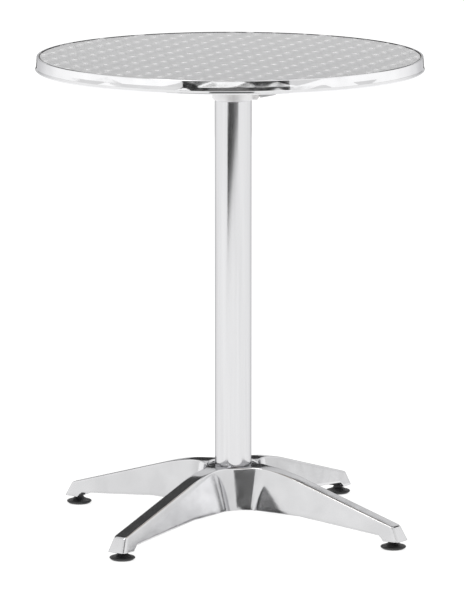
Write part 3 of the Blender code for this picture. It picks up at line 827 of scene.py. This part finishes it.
def outer_rows(lower, upper, last_leg, count):
    """The casting's skin from its lower edge, up its sides and over its top, row by row."""
    rows = []
    for i, ((bx, by), (tx, ty)) in enumerate(zip(lower, upper)):
        bottom = Vector((bx, by, low_height(bx, by)))
        top = Vector((tx, ty, top_height(tx, ty)))
        wall = (top - bottom).normalized()
        rim = RECESS_RADIUS + RECESS_LIP
        if i <= last_leg:
            back = 0.012 * (1 - smoothstep((i - 2 * TIP_STEPS) / 8))
            closing = max(0, (i - last_leg + 6) / 6)
            end = (tx - back + (rim - tx) * closing, 0.0)
        else:
            a = hub_angle(i, last_leg, count)
            end = (rim * math.cos(a), rim * math.sin(a))
        inward = Vector((end[0] - tx, end[1] - ty, 0))
        inward = inward.normalized() if inward.length > 1e-6 else Vector((-1, 0, 0))
        near = bottom + wall * LOWER_ROUND
        row = bend(bottom + inward * LOWER_ROUND, bottom, near, 2)
        start = top - wall * EDGE_ROUND
        row += [tuple(near + (start - near) * (k / 10)) for k in range(1, 10)]
        stop = top + inward * EDGE_ROUND
        stop.z = top_height(stop.x, stop.y)
        row += bend(start, top, stop, 5)
        row += flat_path(stop, end, 8, top_height)
        rows.append(row)
    return rows


def low_height(x, y):
    return belly(math.hypot(x, y) if x < HEEL_START_R else max(x, HEEL_START_R))


def under_rows(lower, last_leg):
    """The lower edge's flat rim and the open channel under the leg, row by row."""
    rows = []
    for x, y in lower[: last_leg + 1]:
        row = [(x, y, low_height(x, y))]
        for limit in (HEEL_R, HEEL_START_R, CHANNEL_END_R):
            r = min(x, limit)
            inside = min(y, half_width(r, 0) - CHANNEL_WALL) if x > CHANNEL_END_R else y - CHANNEL_WALL
            row.append((r, inside, belly(r)))
        r, inside = min(x, CHANNEL_END_R), row[-1][1]
        roof = crest(r) - CHANNEL_WALL
        narrow = min(inside, LEG_HALF_TOP - CHANNEL_WALL)
        row.append((r, narrow, roof))
        row.append((r, 0.0, roof))
        rows.append(row)
    return rows


def skin(bm, rows, turn, side):
    """Adds a grid of faces over the rows, turned about Z and mirrored where side is -1."""
    grid = [[bm.verts.new(turn @ Vector((x, side * y, z))) for x, y, z in row] for row in rows]
    for left, right in zip(grid, grid[1:]):
        for k in range(len(left) - 1):
            bm.faces.new((left[k], left[k + 1], right[k + 1], right[k]))
    return grid


def base():
    lower, upper = rim_line(0), rim_line(1)
    count = len(upper)
    last_leg = next(i for i, (x, y) in enumerate(upper) if x < LEG_START_X)
    outside = outer_rows(lower, upper, last_leg, count)
    under = under_rows(lower, last_leg)
    socket = socket_rows(last_leg, count)
    bm = bmesh.new()
    for angle in LEG_ANGLES:
        for side in (1, -1):
            turn = Matrix.Rotation(math.radians(angle), 3, "Z")
            skin(bm, outside, turn, side)
            skin(bm, under, turn, side)
            skin(bm, socket, turn, side)
            # the flat underside of the hub, from the web's edge to the nut's pocket
            pocket = []
            for i in range(last_leg, count):
                a = hub_angle(i, last_leg, count)
                end = (POCKET_RADIUS * math.cos(a), POCKET_RADIUS * math.sin(a))
                x, y = lower[i]
                pocket.append([(x, y, low_height(x, y)), *flat_path((x, y), end, 4, low_height)])
            skin(bm, pocket, turn, side)
            # and the end of the channel, beside the hub
            x, _, z = under[-1][3]
            corner = under[-1][3:]
            middle = (x, 0.0, z)
            face = [corner[0], corner[1], corner[2], middle]
            bm.faces.new([bm.verts.new(turn @ Vector((px, side * py, pz))) for px, py, pz in face])
            start, end = pocket[0][0], pocket[0][-1]
            face = [start, corner[0], middle, end, *pocket[0][-2:0:-1]]
            bm.faces.new([bm.verts.new(turn @ Vector((px, side * py, pz))) for px, py, pz in face])
    mesh = bpy.data.meshes.new("base")
    bmesh.ops.remove_doubles(bm, verts=bm.verts, dist=0.00002)
    bmesh.ops.recalc_face_normals(bm, faces=bm.faces)
    bm.to_mesh(mesh)
    bm.free()
    obj = bpy.data.objects.new("base", mesh)
    bpy.context.scene.collection.objects.link(obj)
    shade(obj, 32)
    put(obj, "stand", "polished_casting", "base_casting")


# ---- Column head, hinge and lever ----


def column_head():
    put(eased("head_casting", "column_head", 0.0007), "stand", "raw_casting", "column_head")
    low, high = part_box("rest_pad_left")
    radius, edge = (high.x - low.x) / 2, 0.0008
    profile = rounded(
        [(0, high.z), (radius * 0.8, high.z), (radius, high.z - edge), (radius, low.z), (0, low.z)],
        edge,
        closed=False,
    )
    for side in ("left", "right"):
        low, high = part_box(f"rest_pad_{side}")
        pad = turned(f"rubber_pad_{side}", profile, 40)
        moved(pad, (low.x + high.x) / 2, (low.y + high.y) / 2)
        put(pad, "stand", "black_rubber", f"rest_pad_{side}")


def hinge():
    low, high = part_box("hinge_bolt")
    x, _, z = frame_joint("top_tilt")
    head_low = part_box("top_bracket")[1].y + 0.0003
    shank_radius = 0.004
    start = low.y + 0.0005
    threads = [(start, start + 0.014)]
    shank = threaded("shank", shank_radius, low.y, head_low + 0.001, M8_PITCH, threads)
    head = hexagonal("tilt_bolt", 0.013, head_low, high.y, both=False)
    bolt = boolean(head, shank, "UNION")
    put(moved(bolt, x, 0, z, along_y=True), "stand", "zinc_steel", "hinge_bolt")
    low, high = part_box("hinge_nut")
    tilt_nut = nut("tilt_nut", 0.013, low.y, high.y, 0.0044)
    put(moved(tilt_nut, x, 0, z, along_y=True), "stand", "zinc_steel", "hinge_nut")
    for side in ("left", "right"):
        low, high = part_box(f"hinge_washer_{side}")
        ring = washer(f"nylon_washer_{side}", 0.0043, (high.x - low.x) / 2, low.y, high.y)
        moved(ring, x, 0, z, along_y=True)
        put(ring, "stand", "white_nylon", f"hinge_washer_{side}")


def frame_joint(name):
    """A joint's place at rest."""
    return next(j["pos_m"] for j in frame["record"]["behaviour"]["joints"] if j["name"] == name)


def lever():
    put(eased("lever_blade", "release_lever", 0.0011, 25), "lever", "bright_lever", "release_lever")
    low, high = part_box("lever_pin")
    x, z = (low.x + high.x) / 2, (low.z + high.z) / 2
    radius = (high.x - low.x) / 2
    outline = [(0, high.y), (radius, high.y), (radius, low.y), (0, low.y)]
    pin = turned("pin", rounded(outline, 0.0007, 4, closed=False), 40)
    put(moved(pin, x, 0, z, along_y=True), "stand", "zinc_steel", "lever_pin")
    low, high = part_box("latch_spring")
    coil = (high.z - low.z) / 2 - SPRING_WIRE
    middle_z = (high.z + low.z) / 2
    curve = bpy.data.curves.new("spring", "CURVE")
    curve.dimensions = "3D"
    curve.bevel_depth = SPRING_WIRE
    curve.bevel_resolution = 4
    curve.use_fill_caps = True
    spline = curve.splines.new("POLY")
    turns = SPRING_TURNS
    count = turns * 32
    spline.points.add(count)
    start, end = low.x + SPRING_WIRE, high.x - SPRING_WIRE
    for i, point in enumerate(spline.points):
        t = i / count
        a = 2 * math.pi * turns * t
        # the turns lie closer together at each end than in the middle
        along = smoothstep((t * turns - 0.6) / (turns - 1.2)) * 0.35 + t * 0.65
        x = start + (end - start) * along
        point.co = (x, coil * math.cos(a), middle_z + coil * math.sin(a), 1)
    obj = bpy.data.objects.new("spring", curve)
    bpy.context.scene.collection.objects.link(obj)
    coils = put(applied(obj, 60), "stand", "spring_steel", "latch_spring")
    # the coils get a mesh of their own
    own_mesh(coils)


def bracket():
    put(eased("star_bracket", "top_bracket", 0.0008), "tabletop", "raw_casting", "top_bracket")
    first_low, first_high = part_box("bracket_screw_1")
    top = first_high.z
    head_radius = (first_high.x - first_low.x) / 2
    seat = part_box("top_bracket")[1].z - 0.0053
    bottom = first_low.z
    profile = [(0, top), (0.0011, top - 0.0014)]
    profile += [(0.0021, z) for z in levels(top - 0.0035, seat, 0.0002)]
    head = [(0.0021, seat), (head_radius, seat), (head_radius * 0.96, bottom + 0.0012)]
    profile += head + arc_between(head[-1], (0, bottom), 6)
    shape = turned("screw", profile, 36, shift=thread(SCREW_PITCH, 0.0005, seat + 0.001, top - 0.0014))
    for turn in (0, math.pi / 2):
        long, wide = 0.0024, 0.0004
        outline = [(-long, -wide), (long, -wide), (long, wide), (-long, wide)]
        slot = prism("slot", outline, bottom - 0.001, bottom + 0.0014)
        slot.data.transform(Matrix.Rotation(turn, 4, "Z"))
        shape = boolean(shape, slot, "DIFFERENCE")
    for number in range(1, 9):
        low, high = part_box(f"bracket_screw_{number}")
        screw = bpy.data.objects.new(f"screw_{number}", shape.data.copy())
        bpy.context.scene.collection.objects.link(screw)
        screw.data.transform(Matrix.Rotation(number * 0.7, 4, "Z"))
        moved(screw, (low.x + high.x) / 2, (low.y + high.y) / 2)
        put(screw, "tabletop", "zinc_steel", f"bracket_screw_{number}")
    bpy.data.objects.remove(shape)
    paint(NODES["core_board"], "board")


def arc_between(start, end, steps):
    """A quarter of an ellipse from start, on its side, to end, on its top."""
    return [
        (
            end[0] + (start[0] - end[0]) * math.cos(math.pi / 2 * k / steps),
            start[1] + (end[1] - start[1]) * math.sin(math.pi / 2 * k / steps),
        )
        for k in range(1, steps + 1)
    ]


def paint(node, slot):
    """Gives a CAD node that is shown as it is its material."""
    for place in node.material_slots:
        place.material = MATERIALS[slot]


def tie_rod():
    low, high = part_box("tie_rod")
    threads = [(low.z + 0.0005, low.z + 0.040), (high.z - 0.050, high.z - 0.0005)]
    bar = threaded("threaded_rod", (high.x - low.x) / 2, low.z, high.z, ROD_PITCH, threads)
    put(bar, "stand", "zinc_steel", "tie_rod")
    for end in ("top", "base"):
        low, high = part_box(f"{end}_nut")
        put(nut(f"rod_nut_{end}", 0.016, low.z, high.z, 0.0051), "stand", "zinc_steel", f"{end}_nut")
        low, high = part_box(f"{end}_washer")
        ring = washer(f"steel_washer_{end}", 0.005, (high.x - low.x) / 2, low.z, high.z)
        put(ring, "stand", "zinc_steel", f"{end}_washer")


# ---- Feet ----


def feet():
    for number in FOOT_NUMBERS:
        low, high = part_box(f"foot_pad_{number}")
        x, y = (low.x + high.x) / 2, (low.y + high.y) / 2
        r, top = (high.x - low.x) / 2, high.z
        outline = [
            (0.0041, top - 0.007),
            (0.0041, top),
            (0.0069, top),
            (0.0070, top - 0.0022),
            (0.0088, top - 0.0044),
            (0.0136, top - 0.0066),
            (r - 0.0012, 0.0050),
            (r - 0.0001, 0.0040),
            (r - 0.0001, 0.0030),
            (r - 0.0012, 0.0018),
            (0.0164, 0.0002),
            (0.0150, 0.0),
            (0.0128, 0.0),
            (0.0120, 0.0008),
            (0.0040, 0.0008),
            (0, 0.0008),
        ]
        profile = [(0, top - 0.007)] + rounded(outline, 0.0011, 5, closed=False)
        foot = moved(turned(f"foot_{number}", profile, 96), x, y)
        put(foot, f"foot_pad_{number}", "black_plastic", f"foot_pad_{number}")
        low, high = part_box(f"foot_stud_{number}")
        threads = [(low.z + 0.001, high.z - 0.0005)]
        stud = threaded(f"stud_{number}", 0.0039, low.z + 0.0002, high.z, M8_PITCH, threads)
        put(moved(stud, x, y), f"foot_stud_{number}", "zinc_steel", f"foot_stud_{number}")


# ---- Stage, light and camera ----

CARD_DISTANCE = 2.9
FLOOR_HALF = 60
FLOOR_DROP = 0.0002  # keeps the floor clear of the feet


def lamp_material(name, radiance, albedo=0.0):
    """A surface that glows evenly, and reflects a little where albedo isn't 0."""
    material = bpy.data.materials.new(name)
    material.use_nodes = True
    shader = material.node_tree.nodes["Principled BSDF"]
    shader.inputs["Base Color"].default_value = (albedo, albedo, albedo, 1)
    shader.inputs["Roughness"].default_value = 1.0
    shader.inputs["Specular IOR Level"].default_value = 0.0
    shader.inputs["Emission Color"].default_value = (1, 1, 1, 1)
    shader.inputs["Emission Strength"].default_value = radiance
    return material


def seen_from_above(material):
    """Clear from below, so that the object's underside can be looked at through the floor."""
    nodes, links = material.node_tree.nodes, material.node_tree.links
    side, clear = nodes.new("ShaderNodeNewGeometry"), nodes.new("ShaderNodeBsdfTransparent")
    either, output = nodes.new("ShaderNodeMixShader"), nodes["Material Output"]
    links.new(side.outputs["Backfacing"], either.inputs["Fac"])
    links.new(nodes["Principled BSDF"].outputs[0], either.inputs[1])
    links.new(clear.outputs[0], either.inputs[2])
    links.new(either.outputs[0], output.inputs["Surface"])
    return material


def floor():
    half = FLOOR_HALF
    corners = [(-half, -half, 0), (half, -half, 0), (half, half, 0), (-half, half, 0)]
    sheet = mesh_object("floor", corners, [[0, 1, 2, 3]])
    sheet.location.z = -FLOOR_DROP
    sheet.data.materials.append(seen_from_above(lamp_material("floor", 0.82, 0.35)))


def around(azimuth, distance, height):
    """A place by its angle round the table, in degrees from the camera's direction, positive
    to the camera's right."""
    a = math.radians(CAMERA_AZIMUTH - azimuth)
    return (-distance * math.sin(a), -distance * math.cos(a), height)


def card(name, azimuths, low, high, radiance, steps=16):
    """A curved studio card round the table, which shows only in reflections. low and high
    hold the heights of the left and right ends of its edges."""
    rows = []
    for k in range(steps + 1):
        t = k / steps
        azimuth = azimuths[0] + (azimuths[1] - azimuths[0]) * t
        for edge in (low, high):
            rows.append(around(azimuth, CARD_DISTANCE, edge[0] + (edge[1] - edge[0]) * t))
    faces = [[2 * k, 2 * k + 2, 2 * k + 3, 2 * k + 1] for k in range(steps)]
    obj = mesh_object(name, rows, faces)
    obj.data.materials.append(lamp_material(name, radiance))
    obj.visible_camera = obj.visible_diffuse = obj.visible_shadow = False


def softbox(name, place, target, width, height, power):
    data = bpy.data.lights.new(name, "AREA")
    data.shape = "RECTANGLE"
    data.size, data.size_y = width, height
    data.energy = power
    obj = bpy.data.objects.new(name, data)
    obj.location = place
    aim = Vector(target) - Vector(place)
    obj.rotation_euler = aim.to_track_quat("-Z", "Y").to_euler()
    bpy.context.scene.collection.objects.link(obj)


SKY = (  # height above the horizon in degrees, and how bright the studio is there
    (0, 0.74),
    (11, 0.96),
    (28, 0.93),
    (45, 0.74),
    (90, 0.70),
)


def world():
    """White walls, and a ceiling that is a little darker."""
    made = bpy.data.worlds.new("studio")
    bpy.context.scene.world = made
    made.use_nodes = True
    nodes, links = made.node_tree.nodes, made.node_tree.links
    place = nodes.new("ShaderNodeTexCoord")
    split = nodes.new("ShaderNodeSeparateXYZ")
    ramp = nodes.new("ShaderNodeValToRGB")
    links.new(place.outputs["Generated"], split.inputs[0])
    links.new(split.outputs["Z"], ramp.inputs["Fac"])
    stops = ramp.color_ramp.elements
    while len(stops) < len(SKY):
        stops.new(0.5)
    for stop, (height, level) in zip(stops, SKY):
        stop.position = math.sin(math.radians(height))
        stop.color = (level, level, level, 1)
    links.new(ramp.outputs["Color"], nodes["Background"].inputs["Color"])


def studio():
    world()
    floor()
    card("column_card", (-36, 31), (0.01, 0.24), (0.30, 0.30), 0.0)
    card("web_card", (-28, 35), (0.30, 0.30), (0.50, 0.50), 0.14)
    card("rim_card_low", (-27, 33), (0.66, 0.66), (0.80, 0.80), 0.03)
    card("rim_card_high", (-27, 33), (0.80, 0.80), (1.00, 0.84), 0.15)
    card("wedge_card", (-27, -6), (0.98, 0.98), (1.06, 1.06), 0.10)
    card("bright_card", (4, 34), (1.06, 0.92), (1.26, 1.26), 1.40)
    card("front_high", (-12, 14), (1.90, 1.90), (3.20, 3.20), 0.12)
    card("ceiling_card", (-70, 70), (4.40, 4.40), (8.00, 8.00), 1.25)
    card("back_card", (162, 198), (0.20, 0.20), (0.90, 0.90), 0.06)
    card("dark_back", (112, 248), (1.72, 1.72), (3.10, 3.10), 0.07)
    softbox("key", around(-40, 2.6, 3.4), (0, 0, 0.4), 1.4, 1.4, 18)
    bpy.context.scene.view_settings.view_transform = "Standard"


def camera():
    data = bpy.data.cameras.new("camera")
    data.lens = CAMERA_LENS
    data.sensor_width = CAMERA_SENSOR
    data.clip_end = 200
    obj = bpy.data.objects.new("camera", data)
    a = math.radians(CAMERA_AZIMUTH)
    obj.location = (-CAMERA_DISTANCE * math.sin(a), -CAMERA_DISTANCE * math.cos(a), CAMERA_HEIGHT)
    tilt = math.radians(90 - CAMERA_PITCH)
    obj.rotation_euler = (tilt, 0, math.radians(CAMERA_YAW) - a)
    bpy.context.scene.collection.objects.link(obj)
    bpy.context.scene.camera = obj


tabletop()
bracket()
column_head()
hinge()
lever()
column()
tie_rod()
base()
feet()
studio()
camera()
